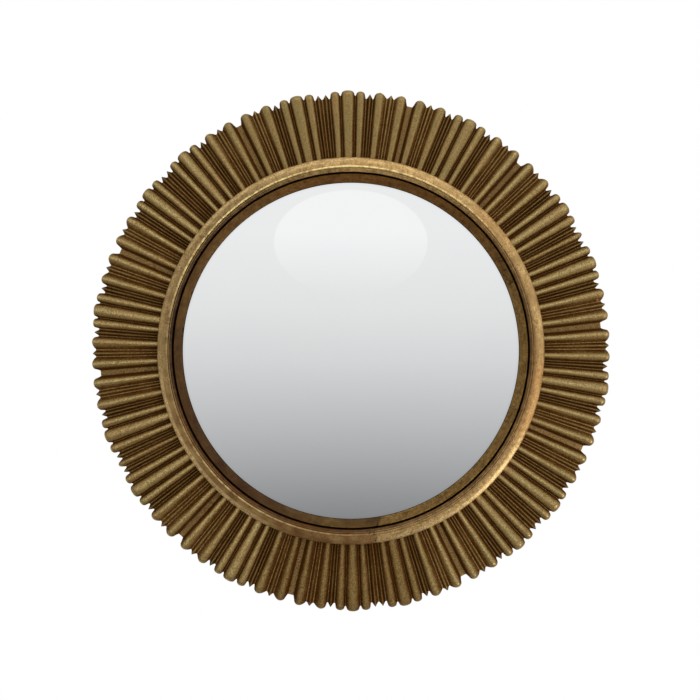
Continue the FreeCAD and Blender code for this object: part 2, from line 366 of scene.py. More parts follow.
def modulePoints(kind):
    # one module from the middle of a broad rib to the middle of the next, mirrored about its own middle
    length, items = halfModules[kind]
    half = [point for point in ribOutline("broad", 0) if point[0] >= 0]
    for item in items:
        half += grooveOutline(*item[1:]) if item[0] == "groove" else ribOutline(*item)
    half = [point for point in half if point[0] <= length / 2]
    mirrored = [(length - angle, *rest) for angle, *rest in reversed(half)]
    return half + [point for point in mirrored if point[0] > half[-1][0] + 0.01]


def strayed(angle):
    # the ribs lie a little closer together round the top and wider apart round the bottom
    return angle - pleats["stray"] * math.sin(math.radians(angle + pleats["strayTurn"]))


def pleatProfile():
    profile, start = [], pleats["first"]
    for kind in modulesRound:
        profile += [(strayed(start + angle), *rest) for angle, *rest in modulePoints(kind)[:-1]]
        start += halfModules[kind][0]
    return softened(profile, 2)


def smoothStep(low, high, value):
    share = min(max((value - low) / (high - low), 0), 1)
    return share * share * (3 - 2 * share)


def nearness(angle, middle, half):
    # 1 round an angle, fading out between half of the half width and all of it
    away = abs((angle - middle + 180) % 360 - 180)
    return 1 - smoothStep(half * 0.5, half, away)


def pleatStations(height):
    # the casting's section at one angle: (radius, depth, worked surface 1 or back 0)
    share = height / pleats["relief"]
    rim = pleats["tip"] - pleats["relief"] * (1 - share)
    front = pleats["depth"] - pleats["relief"] * (1 - share)
    roll = pleats["floorRoll"] + (pleats["crestRoll"] - pleats["floorRoll"]) * share
    faceEnd = rim - roll
    start = pleats["inner"] + pleats["clearance"]
    section = [(start, pleats["land"], 0.0)]
    for number in range(pleats["faceSteps"] + 1):
        along = number / pleats["faceSteps"]
        radius = start + (faceEnd - pleats["inner"]) * along
        depth = pleats["apex"] + (front - pleats["apex"]) * radius / faceEnd
        section.append((radius, depth + pleats["belly"] * share * math.sin(math.pi * along), 1.0))
    for number in range(1, pleats["rollSteps"] + 1):
        turn = math.pi / 2 * number / pleats["rollSteps"]
        section.append((faceEnd + roll * math.sin(turn), front - roll * (1 - math.cos(turn)), 1.0))
    edge = section[-1][1]
    for drop in pleats["skirtRows"]:
        taper = 1 - (1 - pleats["footTaper"]) * drop
        section.append((rim * taper, edge * (1 - drop), 1.0 - 0.5 * drop))
    section += [(pleats["recess"], 0.0, 0.0), (pleats["recess"], pleats["recessDepth"], 0.0),
                (pleats["bore"], pleats["recessDepth"], 0.0), (pleats["bore"], pleats["land"], 0.0)]
    return section


def giltHighlightAndShadeAt(gold, angle, radius, height):
    # near the bead the gold lies narrower on the flanks, and the crests get more of their painted highlight
    inwards = 1 - smoothStep(pleats["inner"], pleats["tip"] - pleats["crestHighlightEnd"], radius)
    flank = smoothStep(0.0, pleats["flank"], gold)
    gold = gold * (1 + pleats["crestHighlight"] * inwards) - pleats["thinning"] * inwards * flank
    gold *= 1 - pleats["rimFade"] * smoothStep(pleats["tip"] - pleats["rimBand"], pleats["tip"], radius)
    # painted shade round the bottom, where less light falls
    gold *= 1 - pleats["darkening"] * nearness(angle, pleats["shadedAt"], pleats["shadedHalf"])
    # round the top the broad ribs are gilt evenly, with crisp edges, and their crests' painted highlight is
    # capped
    even = nearness(angle, 0, pleats["evenHalf"])
    even *= smoothStep(pleats["evenFrom"], pleats["evenTo"], height)
    return gold + (min(gold * pleats["evenGain"], pleats["evenGold"]) - gold) * even


def keepInBox(rings, node):
    # presses the outermost stretch of the tips in, so that none stands past the box of the solid
    low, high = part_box(node)
    band = pleats["pressed"] * mm
    points = [point for ring in rings for point in ring]
    for axis in (0, 2):
        for side, limit in ((-1, -low[axis]), (1, high[axis])):
            start = limit - band
            squeeze = min(1, band / (max(side * point[axis] for point in points) - start))
            for point in points:
                if side * point[axis] > start:
                    point[axis] = side * (start + (side * point[axis] - start) * squeeze)


def unevenness(angle, radius, perDegree, perMm, layer):
    return noise.noise(Vector((angle * perDegree, radius * perMm, layer)))


def makePleats():
    profile = pleatProfile()
    sections = [pleatStations(height) for _, height, _, _ in profile]
    rings, goldRows, workRows = [], [], []
    for row in range(len(sections[0])):
        ring, golds = [], []
        for (angle, height, gold, _), section in zip(profile, sections):
            radius, depth, worked = section[row]
            if worked == 1.0:
                # the casting is a little uneven
                lift = unevenness(angle, radius, pleats["wobbleRound"], pleats["wobbleAlong"], 0)
                depth += pleats["wobble"] * lift * (height + pleats["wobbleFoot"])
                angle += pleats["waver"] * unevenness(angle, radius, pleats["waverRound"],
                                                      pleats["waverAlong"], 7)
                gold = giltHighlightAndShadeAt(gold, angle, radius, height)
            golds.append(gold)
            ring.append(spot(radius, depth, angle))
        rings.append(ring)
        goldRows.append(golds)
        workRows.append([section[row][2] for section in sections])
    keepInBox(rings, "pleated_ring")
    sandRows = [[sand for _, _, _, sand in profile]] * len(rings)
    return bandMesh("pleatedRing", rings, {"giltAndHighlight": goldRows, "worked": workRows, "sand": sandRows})


def gildedRibs():
    material, tree, shader = freshMaterial("gildedRibs")
    shader.inputs["Specular IOR Level"].default_value = 0.1
    coords = place(tree)
    patches = speckle(tree, coords, pleats["patchSize"], 3)
    grain = speckle(tree, coords, pleats["grainSize"], 5, 0.7)
    dust = speckle(tree, coords, pleats["dustSize"], 3)
    # the brush leaves the gold ragged where it thins out
    ragged = plus(tree, mark(tree, "giltAndHighlight"), spread(tree, grain, 0.3, 0.7, -0.24, 0.24))
    ragged = plus(tree, ragged, spread(tree, patches, 0.3, 0.7, -0.1, 0.1))
    ragged = sums(tree, "DIVIDE", ragged, pleats["covered"], clamp=True)
    # the palest tones, at the top of the ramp, are a painted highlight along the crests
    colour = stops(tree, ragged, *pleats["giltAndHighlightTones"])
    warm = mixed(tree, spread(tree, patches, 0.42, 0.7, 0.0, 0.4), colour, pleats["warm"])
    colour = mixed(tree, spread(tree, ragged, 0.2, 0.45), colour, warm)
    # the floors of the grooves are pale and sandy
    sandMask = times(tree, mark(tree, "sand"), spread(tree, grain, 0.2, 0.6, 0.3, 1))
    colour = mixed(tree, sandMask, colour, pleats["sandy"])
    # pale specks of ground that show in the hollows
    cells = put(tree, "TexVoronoi", {"Vector": coords, "Scale": pleats["speckScale"]})
    specks = times(tree, spread(tree, cells.outputs["Distance"], 0.05, 0.1, 1.0, 0.0),
                   spread(tree, speckle(tree, coords, pleats["speckPatch"], 2), 0.58, 0.66))
    colour = mixed(tree, times(tree, specks, 0.55), colour, pleats["speck"])
    # grainy gold, smoother round the top
    around = shareRound(tree, turnAt(tree, objectParts(tree)))
    dusty = spread(tree, dust, 0.32, 0.68)
    smooth, rough = mixed(tree, dusty, *pleats["smooth"]), mixed(tree, dusty, *pleats["rough"])
    grit = mixed(tree, roundRing(tree, around, *pleats["grainy"]), smooth, rough)
    colour = mixed(tree, 1.0, colour, grit, "MULTIPLY")
    # a chip that shows the bare ground
    away = put(tree, "VectorMath", {0: coords, 1: pleats["chip"]}, operation="DISTANCE").outputs["Value"]
    away = plus(tree, away, spread(tree, grain, 0.3, 0.7, -0.0012, 0.0012))
    colour = mixed(tree, spread(tree, away, *pleats["chipEdge"]), colour, pleats["ground"])
    # the skirt darkens towards the wall and the back is sprayed dark; the same dark lies on the land at the
    # floor of the shadow gap, where it is partly painted shade
    unworked = spread(tree, mark(tree, "worked"), 0.45, 1.0, 1.0, 0.0)
    colour = mixed(tree, unworked, colour, pleats["sprayedAndGapShade"])
    plug(tree, colour, shader, "Base Color")
    plug(tree, spread(tree, ragged, 0.1, 0.8, 0.66, 0.38), shader, "Roughness")
    plug(tree, spread(tree, ragged, 0.2, 0.8, 0.0, 0.75), shader, "Metallic")
    height = plus(tree, times(tree, grain, 0.6), times(tree, dust, 0.4))
    bumpy(tree, shader, height, pleats["bumpDepth"], 0.6)
    return material


# the bead and the slip

# lists round the ring are degrees from the top, clockwise, and a share or a half width
bead = {
    "outer": reachOf("bead_moulding"),
    "sight": 205.7,
    "back": 29.0,
    "front": 46.0,
    "shoulder": 38.6,
    "shoulderRound": (3.2, 3.6, 39.0, 0, 62),         # radii, depth of the centre, first and last angle
    "arris": 211.3,
    # (radius from the outer edge, depth from the front, tint) up the gentle rise of the broad band
    "rise": ((-4.2, -2.3, 0.9), (-6.6, -1.3, 0.9)),
    # the same from the arris: its bright edge, burnished and carrying a painted highlight, a dark quirk, a
    # hairline and the edge of the inner band
    "crest": ((1.6, -0.9, 1.0), (0.75, -0.1, 1.3), (0.3, 0.0, 1.5), (-0.5, 0.0, 1.5), (-0.85, -0.3, 1.3),
              (-1.3, -1.9, 0.2), (-1.75, -2.3, 0.15), (-2.1, -1.9, 0.7), (-2.6, -1.8, 0.7),
              (-3.0, -2.5, 0.35)),
    "innerRound": (2.6, 3.1, 40.2, 78, 176),
    "roundSteps": 8,
    "gapWall": ((39.0, -0.2), (36.5, -0.8)),          # depths and tints down the shadow gap
    "dark": tone(156, 118, 70), "middle": tone(206, 168, 108), "light": tone(232, 198, 138),
    "bright": tone(255, 232, 162), "brown": tone(140, 104, 60), "umber": tone(82, 54, 24),
    "warm": tone(222, 160, 96), "bole": tone(118, 72, 28), "pale": tone(250, 218, 158),
    "grain": 0.0019,
    "mottle": ((0.78, 0.75, 0.68, 1), (1.24, 1.24, 1.24, 1)),
    "lasting": ((0, 0.95), (60, 0.85), (90, 0.75), (120, 1.0), (166, 1.0), (174, 0.3), (225, 0.42),
                (250, 0.5), (264, 0.82), (330, 0.9), (360, 0.95)),
    "burnishAndHighlight": ((0, 1.0), (45, 0.6), (60, 0.1), (170, 0.1), (180, 0.4), (225, 0.8), (262, 0.1),
                (290, 0.6), (330, 1.0), (360, 1.0)),
    "dull": ((0, 0.0), (48, 0.1), (66, 0.7), (165, 0.6), (180, 0.2), (225, 0.1), (250, 0.3), (265, 0.3),
             (285, 0.1), (310, 0.0), (360, 0.0)),
    "warmth": ((40, 0.0), (48, 0.35), (60, 0.0), (88, 0.0), (94, 0.45), (115, 0.4), (122, 0.0)),
    "inner": ((0, 1.0), (45, 0.65), (80, 0.4), (150, 0.5), (185, 0.3), (225, 0.05), (275, 0.05),
              (315, 0.35), (345, 0.8), (360, 1.0)),
    "shade": ((0, 1.0), (20, 1.0), (170, 1.0), (190, 0.9), (245, 1.0), (264, 0.64), (318, 0.58),
              (345, 0.85), (360, 1.0)),
    "rubbedAndHighlit": ((0, 0.0), (112, 0.0), (128, 1.0), (166, 0.9), (172, 0.0), (200, 0.0), (214, 1.0),
               (240, 1.0), (272, 0.1), (290, 0.2), (315, 0.6), (345, 0.5), (360, 0.0)),
    "nicks": ((171.5, 0.35),),
    "specks": (),
}
slip = {
    "outer": reachOf("inner_slip"),
    "front": 39.5,
    "back": 25.0,
    "sight": 193.9,
    "lip": 200.8,
    "edge": 0.35,             # rounding of both edges of the face, and its swell between them
    "faceSteps": 8,
    "gap": 0.8,               # between the lip and the glass, for the tape
    "dark": tone(80, 50, 18), "middle": tone(128, 98, 46), "light": tone(150, 120, 66),
    "bright": tone(152, 124, 72), "brown": tone(96, 66, 30), "umber": tone(80, 50, 20),
    "warm": tone(140, 90, 36), "bole": tone(88, 52, 16), "pale": tone(150, 120, 66),
    "grain": 0.002,
    "mottle": ((0.7, 0.63, 0.5, 1), (1.38, 1.4, 1.44, 1)),
    "lasting": ((0, 0.75), (50, 0.6), (80, 0.85), (168, 1.0), (172, 0.6), (190, 0.7), (215, 0.35),
                (245, 0.45), (290, 0.6), (360, 0.75)),
    "burnishAndHighlight": ((0, 0.5), (360, 0.5)),
    "dull": ((0, 0.0), (360, 0.0)),
    "warmth": ((0, 0.7), (40, 0.5), (70, 0.0), (175, 0.0), (210, 0.3), (330, 0.4), (360, 0.7)),
    "inner": ((0, 0.5), (360, 0.5)),
    "shade": ((0, 1.0), (50, 1.0), (80, 1.05), (165, 1.05), (178, 0.75), (225, 0.6), (270, 0.62),
              (315, 0.88), (345, 1.0), (360, 1.0)),
    "rubbedAndHighlit": ((0, 0.0), (360, 0.0)),
    "nicks": ((59.4, 0.3), (65.3, 0.4), (171.8, 0.6)),
    "specks": ((277.1, 0.5), (290.1, 0.35)),
}
# what the leaf on both has in common
leaf = {
    "streaksAcross": 260.0,   # streaks of the turning, per metre across them and radian along them
    "streaksAlong": 5.0,
    "streakScale": 2.2,
    "patchSize": 0.022,
    "mottleSize": 0.0055,
    "wander": 0.012,          # share of a round that the ends of its stretches wander
    "rubbedFrom": 0.2168,     # radii of the bead between which its rubbed edge, partly a painted highlight, sets in
    "rubbedTo": 0.2186,
    "speckFrom": 0.1956,      # and of the slip's dark specks beside the glass
    "speckTo": 0.1948,
    "sand": ((0.68, 0.66, 0.62, 1), (1.2, 1.2, 1.22, 1)),
    "nickTone": tone(40, 24, 10),
    "speckTone": tone(14, 14, 20),
    "gapPaintAndShade": tone(4, 3, 2),
    "bumpDepth": 0.00015,
}


def makeBead():
    outer, sight, front, back = (bead[key] for key in ("outer", "sight", "front", "back"))
    section = [(outer, back, 0.0), (outer, bead["shoulder"] - 3, 0.2)]
    wide, high, middle, start, end = bead["shoulderRound"]
    turned = arc((outer - wide, middle), (wide, high), start, end, bead["roundSteps"])
    tints = (0.45, 0.75, *[0.9] * (len(turned) - 2))
    section += [(radius, depth, tint) for (radius, depth), tint in zip(turned, tints)]
    section += [(outer + aside, front + rise, tint) for aside, rise, tint in bead["rise"]]
    section += [(bead["arris"] + aside, front + rise, tint) for aside, rise, tint in bead["crest"]]
    # the inner band rolls down to the shadow gap
    wide, high, middle, start, end = bead["innerRound"]
    turned = arc((sight + wide, middle), (wide, high), start, end, bead["roundSteps"])
    tints = (*[0.3] * (len(turned) - 2), 0.2, 0.1)
    section += [(radius, depth, tint) for (radius, depth), tint in zip(turned, tints)]
    section += [(sight, depth, tint) for depth, tint in (*bead["gapWall"], (back, -1.0))]
    return turnedMesh("beadMoulding", section)


def makeSlip():
    outer, sight, lip, front, back = (slip[key] for key in ("outer", "sight", "lip", "front", "back"))
    edge, steps = slip["edge"], slip["faceSteps"]
    lipDepth = glassDepth(sight) + slip["gap"]
    start, end = (outer - edge, front - 0.1), (sight + edge, lipDepth + 0.4)
    section = [(outer, back, -1.0), (outer, front - 3.0, -0.6), (outer, front - 0.5, 0.4), (*start, 0.9)]
    for number in range(1, steps):
        along = number / steps
        swell = edge * math.sin(math.pi * along)
        section.append((start[0] + (end[0] - start[0]) * along,
                        start[1] + (end[1] - start[1]) * along + swell, 0.55))
    section += [(sight + 0.2, lipDepth + 0.35, 0.8), (sight, lipDepth + 0.1, 0.4),
                (sight + 0.1, lipDepth, -0.8), (lip, glassDepth(lip) + slip["gap"], -1.0),
                (lip, back, -1.0)]
    return turnedMesh("innerSlip", section)


def roundRing(tree, around, *pairs):
    # value that changes round the ring: (degrees from the top, value) pairs
    return stops(tree, around, *((degrees / 360, (value, value, value, 1)) for degrees, value in pairs))


def nearAngle(tree, around, degrees, halfWidth):
    # 1 within halfWidth degrees of an angle, fading out over as much again
    away = sums(tree, "ABSOLUTE", sums(tree, "SUBTRACT", around, degrees / 360))
    return spread(tree, away, halfWidth / 360, 2 * halfWidth / 360, 1.0, 0.0)


def leafOn(name, look):
    # metal leaf over a red brown bole; tint is -1 in the shadow gap, which is painted near black, partly
    # dark paint and partly painted shade, and rises to the burnished edges, which carry a painted highlight
    material, tree, shader = freshMaterial(name)
    shader.inputs["Specular IOR Level"].default_value = 0.2
    parts = objectParts(tree)
    radius, turn, tint = radiusAt(tree, parts), turnAt(tree, parts), mark(tree, "tint")
    across = leaf["streaksAcross"]
    rings = put(tree, "CombineXYZ", {0: times(tree, radius, across),
                                     1: times(tree, turn, leaf["streaksAlong"]),
                                     2: times(tree, parts[1], across)}).outputs[0]
    coords = place(tree)
    streaks = speckle(tree, rings, 1 / leaf["streakScale"], 4, 0.5)
    grain = speckle(tree, coords, look["grain"], 5, 0.7)
    patches = speckle(tree, coords, leaf["patchSize"], 5, 0.65)
    blotches = spread(tree, patches, 0.34, 0.66)
    sand = spread(tree, grain, 0.34, 0.66)
    mottle = spread(tree, speckle(tree, coords, leaf["mottleSize"], 4, 0.6), 0.34, 0.66)
    around = shareRound(tree, turn)
    ragged = plus(tree, around, spread(tree, patches, 0.3, 0.7, -leaf["wander"], leaf["wander"]))
    base = mixed(tree, sand, look["middle"], look["light"])
    base = mixed(tree, roundRing(tree, ragged, *look["warmth"]), base, look["warm"])
    base = mixed(tree, spread(tree, streaks, 0.4, 0.7, 0.0, 0.45), base, look["dark"])
    # painted highlight on the burnished arris, brightest round the top
    burnishAndHighlight = times(tree, spread(tree, tint, 1.05, 1.4), roundRing(tree, ragged, *look["burnishAndHighlight"]))
    burnishAndHighlight = times(tree, burnishAndHighlight, spread(tree, mottle, 0.1, 0.5, 0.35, 1.0))
    base = mixed(tree, burnishAndHighlight, base, look["bright"])
    dulled = times(tree, spread(tree, tint, 0.92, 1.2), roundRing(tree, ragged, *look["dull"]))
    base = mixed(tree, dulled, base, look["brown"])
    # the outermost edge is rubbed bright for a stretch, partly as a painted highlight, brightest at the
    # lower right and lower left
    outermost = spread(tree, radius, leaf["rubbedFrom"], leaf["rubbedTo"])
    rubbedAndHighlit = times(tree, outermost, roundRing(tree, ragged, *look["rubbedAndHighlit"]))
    base = mixed(tree, times(tree, rubbedAndHighlit, spread(tree, grain, 0.36, 0.6, 0.3, 1)), base, look["pale"])
    # the inner band is brown; on the bead it is paler round the top and darkest at the lower left and left,
    # which is painted light and shade
    blotchy = plus(tree, roundRing(tree, ragged, *look["inner"]), spread(tree, blotches, 0, 1, -0.2, 0.2))
    brown = stops(tree, blotchy, (0.0, look["umber"]), (0.5, look["brown"]), (1.0, look["middle"]))
    base = mixed(tree, spread(tree, tint, 0.6, 0.3), base, brown)
    # where the leaf has worn off the bole shows, broken up by blotches and grain
    darkening = plus(tree, times(tree, blotches, 0.5), times(tree, sand, 0.5))
    darkening = sums(tree, "SUBTRACT", plus(tree, darkening, 0.5), roundRing(tree, ragged, *look["lasting"]))
    kept = plus(tree, times(tree, rubbedAndHighlit, 0.9), times(tree, burnishAndHighlight, 0.7))
    darkening = sums(tree, "SUBTRACT", spread(tree, darkening, 0.27, 0.8), kept, clamp=True)
    base = mixed(tree, times(tree, darkening, 0.9), base, look["bole"])
    for strength, tones in ((mottle, look["mottle"]), (sand, leaf["sand"])):
        base = mixed(tree, 1.0, base, mixed(tree, strength, *tones), "MULTIPLY")
    lit = plus(tree, burnishAndHighlight, times(tree, rubbedAndHighlit, 0.7), clamp=True)
    shade = mixed(tree, lit, roundRing(tree, ragged, *look["shade"]), (1, 1, 1, 1))
    base = mixed(tree, 1.0, base, shade, "MULTIPLY")
    for degrees, halfWidth in look["nicks"]:
        nick = times(tree, nearAngle(tree, ragged, degrees, halfWidth), spread(tree, grain, 0.35, 0.6))
        base = mixed(tree, nick, base, leaf["nickTone"])
    for degrees, halfWidth in look["specks"]:
        innermost = spread(tree, radius, leaf["speckFrom"], leaf["speckTo"])
        speck = times(tree, nearAngle(tree, around, degrees, halfWidth), innermost)
        base = mixed(tree, speck, base, leaf["speckTone"])
    # the shadow gap is near black: partly dark paint, partly painted shade
    base = mixed(tree, spread(tree, tint, 0.05, -0.45), base, leaf["gapPaintAndShade"])
    plug(tree, base, shader, "Base Color")
    gloss = spread(tree, grain, 0.3, 0.7, 0.4, 0.56)
    plug(tree, plus(tree, gloss, times(tree, darkening, 0.15)), shader, "Roughness")
    shine = plus(tree, times(tree, burnishAndHighlight, 0.5), times(tree, rubbedAndHighlit, 0.3))
    metal = plus(tree, spread(tree, tint, 0.2, 0.9, 0.05, 0.55), shine)
    plug(tree, sums(tree, "SUBTRACT", metal, times(tree, darkening, 0.4), clamp=True), shader, "Metallic")
    height = plus(tree, times(tree, grain, 0.5), times(tree, streaks, 0.5))
    bumpy(tree, shader, height, leaf["bumpDepth"], 0.7)
    return material


# the glass

glass = {
    "radius": reachOf("convex_glass"),
    "thickness": 4.0,
    "curve": 728.0,           # radius of the front's curve
    "hole": 0.004,            # share of the radius left open on the axis, and then closed
    "rows": 48,
    "spans": 256,
    "silver": ((0.925, 0.938, 0.94, 1), (0.94, 0.948, 0.95, 1)),
    "rimTone": (0.80, 0.82, 0.83, 1),
    "rimFrom": 0.190,         # metres from the axis between which the silvering darkens
    "rimTo": 0.196,
    "backing": (tone(92, 92, 94), tone(118, 116, 112)),
}


def glassDepth(radius, behind=0.0):
    # depth of the glass's front, or of a surface so far behind it
    curve = glass["curve"]
    return frontOf("convex_glass") - curve + math.sqrt((curve - behind) ** 2 - radius ** 2)


def makeGlass():
    hole, rows, thick = glass["hole"], glass["rows"], glass["thickness"]
    reaches = [glass["radius"] * (hole + (1 - hole) * number / (rows - 1)) for number in range(rows)]
    section = [(reach, glassDepth(reach)) for reach in reaches]
    section += [(reach, glassDepth(reach, thick)) for reach in reversed(reaches)]
    slots = [0] * (rows - 1) + [1] * rows
    piece = bandMesh("convexGlass", turnedRings(section, glass["spans"]), loop=False, sharp=50, slots=slots)
    shape = bmesh.new()
    shape.from_mesh(piece.data)
    caps = bmesh.ops.holes_fill(shape, edges=[edge for edge in shape.edges if edge.is_boundary])["faces"]
    for cap in caps:
        cap.smooth = True
        cap.material_index = 0 if cap.calc_center_median().y < -glassDepth(0, thick / 2) * mm else 1
    shape.to_mesh(piece.data)
    shape.free()
    return piece


def silvered():
    material, tree, shader = freshMaterial("silveredGlass", metallic=1.0)
    haze = speckle(tree, place(tree), 0.09, 3)
    colour = mixed(tree, spread(tree, haze, 0.3, 0.7), *glass["silver"])
    # the silvering is a touch darker within a few millimetres of the rim
    edge = spread(tree, radiusAt(tree, objectParts(tree)), glass["rimFrom"], glass["rimTo"])
    plug(tree, mixed(tree, edge, colour, glass["rimTone"]), shader, "Base Color")
    wipes = speckle(tree, place(tree, (1, 1, 6)), 0.02, 5)
    plug(tree, spread(tree, wipes, 0.35, 0.75, 0.012, 0.03), shader, "Roughness")
    return material


def backingPaint():
    material, tree, shader = freshMaterial("backingPaint")
    coords = place(tree)
    plug(tree, mixed(tree, speckle(tree, coords, 0.02, 5), *glass["backing"]), shader, "Base Color")
    bumpy(tree, shader, speckle(tree, coords, 0.003, 3), 0.0001)
    return material


# the back and the hangers

def fibreboard():
    material, tree, shader = freshMaterial("fibreboard", 0.82)
    fibres = put(tree, "TexNoise", {"Vector": place(tree, (1, 5, 1)), "Scale": 420.0, "Detail": 7.0,
                                    "Roughness": 0.75, "Distortion": 1.4}).outputs[0]
    clouds = speckle(tree, place(tree), 0.05, 3)
    colour = stops(tree, fibres, (0.3, tone(146, 116, 80)), (0.5, tone(176, 145, 104)),
                   (0.7, tone(196, 168, 128)))
    colour = mixed(tree, spread(tree, clouds, 0.35, 0.7, 0.0, 0.3), colour, tone(150, 120, 84))
    # sawn edges are darker than the faces
    facing = put(tree, "SeparateXYZ", {0: put(tree, "NewGeometry").outputs["Normal"]}).outputs[1]
    edge = spread(tree, sums(tree, "ABSOLUTE", facing), 0.2, 0.8, 0.45, 0.0)
    plug(tree, mixed(tree, edge, colour, tone(108, 78, 48)), shader, "Base Color")
    bumpy(tree, shader, fibres, 0.00025, 0.7)
    return material


def hardboard():
    material, tree, shader = freshMaterial("hardboard")
    coords = place(tree)
    flecks = put(tree, "TexNoise", {"Vector": coords, "Scale": 240.0, "Detail": 8.0, "Roughness": 0.8,
                                    "Distortion": 2.0}).outputs[0]
    clouds = speckle(tree, coords, 0.07, 4)
    colour = stops(tree, flecks, (0.3, tone(72, 47, 28)), (0.5, tone(101, 69, 42)),
                   (0.72, tone(132, 96, 62)))
    colour = mixed(tree, spread(tree, clouds, 0.3, 0.7, 0.0, 0.35), colour, tone(84, 56, 34))
    plug(tree, colour, shader, "Base Color")
    plug(tree, spread(tree, flecks, 0.3, 0.7, 0.48, 0.66), shader, "Roughness")
    bumpy(tree, shader, flecks, 0.00012, 0.5)
    return material


def softwood():
    material, tree, shader = freshMaterial("softwood", 0.7)
    coords = place(tree, (3, 3, 60))
    grain = put(tree, "TexNoise", {"Vector": coords, "Scale": 8.0, "Detail": 5.0}).outputs[0]
    colour = stops(tree, grain, (0.3, tone(176, 138, 92)), (0.55, tone(206, 172, 124)),
                   (0.7, tone(158, 116, 72)))
    plug(tree, colour, shader, "Base Color")
    bumpy(tree, shader, grain, 0.0002)
    return material


def foam():
    material, tree, shader = freshMaterial("foam", 0.95)
    cells = put(tree, "TexVoronoi", {"Vector": place(tree), "Scale": 900.0}).outputs["Distance"]
    plug(tree, mixed(tree, cells, tone(38, 38, 40), tone(70, 70, 72)), shader, "Base Color")
    bumpy(tree, shader, cells, 0.0004)
    return material


def blackTape():
    material, tree, shader = freshMaterial("blackTape")
    creases = speckle(tree, place(tree), 0.004, 4)
    plug(tree, mixed(tree, creases, tone(10, 10, 11), tone(34, 33, 34)), shader, "Base Color")
    bumpy(tree, shader, creases, 0.0001)
    return material


def platedSteel(name, pale, deep, dull):
    material, tree, shader = freshMaterial(name, metallic=1.0)
    coords = place(tree)
    stains = speckle(tree, coords, 0.006, 5, 0.65)
    scratches = speckle(tree, place(tree, (9, 1, 1)), 0.004, 6, 0.7)
    colour = mixed(tree, spread(tree, stains, 0.35, 0.65), deep, pale)
    colour = mixed(tree, spread(tree, scratches, 0.55, 0.75, 0.0, 0.5), colour, dull)
    plug(tree, colour, shader, "Base Color")
    plug(tree, spread(tree, stains, 0.3, 0.7, 0.24, 0.46), shader, "Roughness")
    bumpy(tree, shader, scratches, 0.00006, 0.6)
    return material


hanger = {
    "wire": 1.6,              # radius of the ring's wire
    "halfWidth": 11.5,
    "corner": 3.0,
    "straight": 7.0,
    "wireSides": 20,
    "headRadius": 3.8,
    "headHeight": 1.7,
    "shankRadius": 1.9,
    "shankLength": 12.0,
    "point": 3.0,             # length of the screw's taper
    "axisHole": 0.02,
    "crossWidth": 0.75,
    "crossReach": 2.1,
    "crossDepth": 1.1,
    "turns": (25, 58),        # degrees that the two screws stopped at
}


def arcRoute(radius, start, end, step, aside=0.0, rise=0.0):
    # (x, z) points on an arc, degrees clockwise from its top
    turns = [math.radians(degrees) for degrees in range(start, end + 1, step)]
    return [(aside + radius * math.sin(turn), rise + radius * math.cos(turn)) for turn in turns]


def ringRoute():
    # closed centre line of the D ring in its own plane, from the middle of its bar
    half, corner = hanger["halfWidth"], hanger["corner"]
    right = arcRoute(corner, 0, 90, 15, half - corner, -corner)
    bow = arcRoute(half, 90, 270, 6, 0.0, -hanger["straight"])
    return right + bow + [(-x, z) for x, z in reversed(right)]


def makeHangerRing(side):
    low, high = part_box("hanger_ring_" + side)
    hinge = Vector(((low.x + high.x) / 2, (low.y + high.y) / 2, high.z - hanger["wire"] * mm))
    route = ringRoute()
    rings = []
    for number, (x, z) in enumerate(route):
        before, after = route[number - 1], route[(number + 1) % len(route)]
        along = Vector((after[0] - before[0], 0, after[1] - before[1])).normalized()
        aside = Vector((along.z, 0, -along.x))
        ring = []
        for step in range(hanger["wireSides"]):
            turn = 2 * math.pi * step / hanger["wireSides"]
            offset = aside * math.cos(turn) + Vector((0, math.sin(turn), 0))
            ring.append(hinge + (Vector((x, 0, z)) + offset * hanger["wire"]) * mm)
        rings.append(ring)
    return bandMesh("hangerRing_" + side, rings, sharp=60)


def screwMesh(centre, turnedBy):
    # pan head with a cross recess, its axis along Y, seated at the centre
    radius, height, hole = hanger["headRadius"], hanger["headHeight"], hanger["axisHole"]
    shank, length = hanger["shankRadius"], hanger["shankLength"]
    section = [(hole, height), (radius * 0.3, height), (radius * 0.6, height * 0.93),
               (radius * 0.85, height * 0.72), (radius * 0.97, height * 0.4), (radius, height * 0.12),
               (radius * 0.97, 0), (shank, 0), (shank, hanger["point"] - length), (hole, -length)]
    turns = [math.radians(degrees) for degrees in range(0, 360, 10)]
    rings = [[centre + Vector((reach * math.sin(turn), rise, reach * math.cos(turn))) * mm
              for turn in turns] for reach, rise in section]
    screw = bandMesh("screwBlank", rings, sharp=40)
    for extra in (0, 90):
        cutter = crossBlade(centre, turnedBy + extra)
        cut = screw.modifiers.new("cross", "BOOLEAN")
        cut.operation = "DIFFERENCE"
        cut.solver = "EXACT"
        cut.object = cutter
        graph = bpy.context.evaluated_depsgraph_get()
        graph.update()
        mesh = bpy.data.meshes.new_from_object(screw.evaluated_get(graph))
        screw.modifiers.remove(cut)
        screw.data = mesh
        bpy.data.objects.remove(cutter)
    return screw


